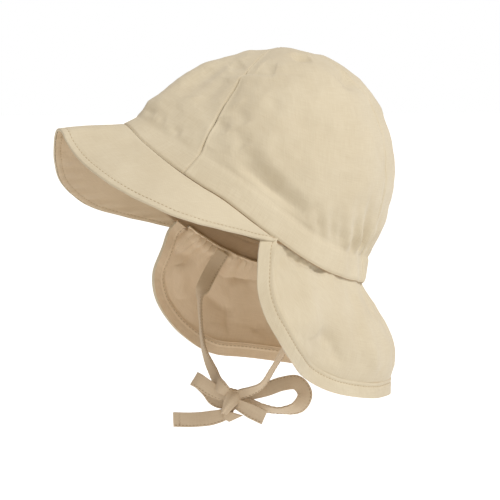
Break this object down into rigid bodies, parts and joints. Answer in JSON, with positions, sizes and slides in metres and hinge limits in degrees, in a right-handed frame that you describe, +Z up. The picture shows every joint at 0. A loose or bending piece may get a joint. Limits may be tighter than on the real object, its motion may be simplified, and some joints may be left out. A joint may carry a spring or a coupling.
{
  "type": "legionnaire cap",
  "caption": "Soft cotton toddler's sun cap with a four-panel crown, an arched peak, a hemmed neck flap and tie tapes in a bow.",
  "frame": {"origin": "middle of the headband's ring, where the head goes in", "axes": "+Z up as worn, -Y the way the wearer looks and the peak points, +X the wearer's left"},
  "size_m": [0.1772, 0.2212, 0.2392],
  "materials": {
    "cap_cotton": "matt plain weave cotton",
    "lining_cotton": "matt plain weave cotton",
    "tape_cotton": "matt folded cotton tape"
  },
  "bodies": {
    "root": {"crown_front_panel": "cap_cotton", "crown_left_panel": "cap_cotton", "crown_right_panel": "cap_cotton", "crown_back_panel": "cap_cotton", "headband_front": "cap_cotton", "headband_back": "cap_cotton", "peak_upper": "cap_cotton", "peak_under": "lining_cotton", "neck_flap": "cap_cotton", "flap_hem": "cap_cotton", "left_tie": "tape_cotton", "right_tie": "tape_cotton", "left_bow_loop": "tape_cotton", "right_bow_loop": "tape_cotton", "left_bow_tail": "tape_cotton", "right_bow_tail": "tape_cotton", "bow_knot": "tape_cotton"}
  },
  "joints": []
}
